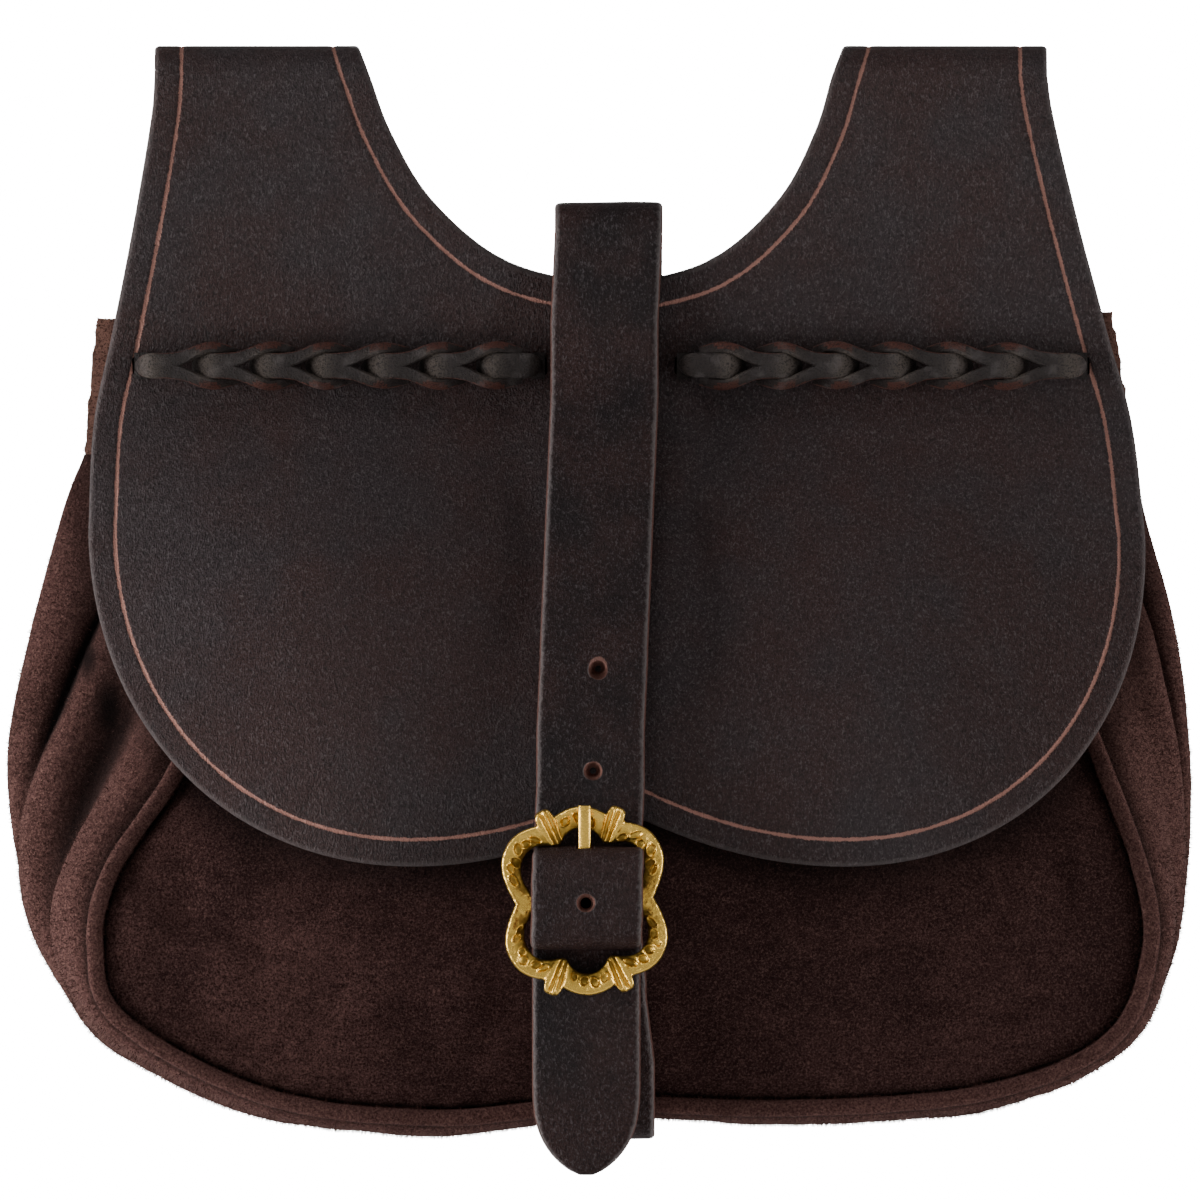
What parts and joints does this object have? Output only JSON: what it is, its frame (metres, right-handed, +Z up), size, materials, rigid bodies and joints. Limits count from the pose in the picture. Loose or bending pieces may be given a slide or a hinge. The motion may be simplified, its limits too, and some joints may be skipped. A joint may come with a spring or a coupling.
{
  "type": "belt bag",
  "caption": "Leather belt bag: lobed flap with laced belt loops over a gusseted suede pouch, closed by a strap and a cast brass buckle.",
  "frame": {"origin": "where a belt bears: midway between the two belt loops, in the hollow of their top folds", "axes": "+X to the right as seen from the front, along the belt; +Y to the back, towards the wearer; +Z up"},
  "size_m": [0.2806, 0.0684, 0.2669],
  "materials": {
    "flap_leather": "dark espresso, fine pebbled grain, satin",
    "strap_leather": "dark espresso, smooth satin",
    "suede": "dark reddish brown nap, matte",
    "piping_suede": "worn suede, matte",
    "thong_leather": "dark thong with raw reddish cut edges",
    "brass": "antique, darkened in the hollows"
  },
  "bodies": {
    "root": {"flap": "flap_leather", "back_panel": "suede", "gusset": "suede", "front_panel": "suede", "piping": "piping_suede", "strap": "strap_leather", "buckle_frame": "brass", "buckle_prong": "brass", "lacing_left": "thong_leather", "lacing_right": "thong_leather"}
  },
  "joints": []
}
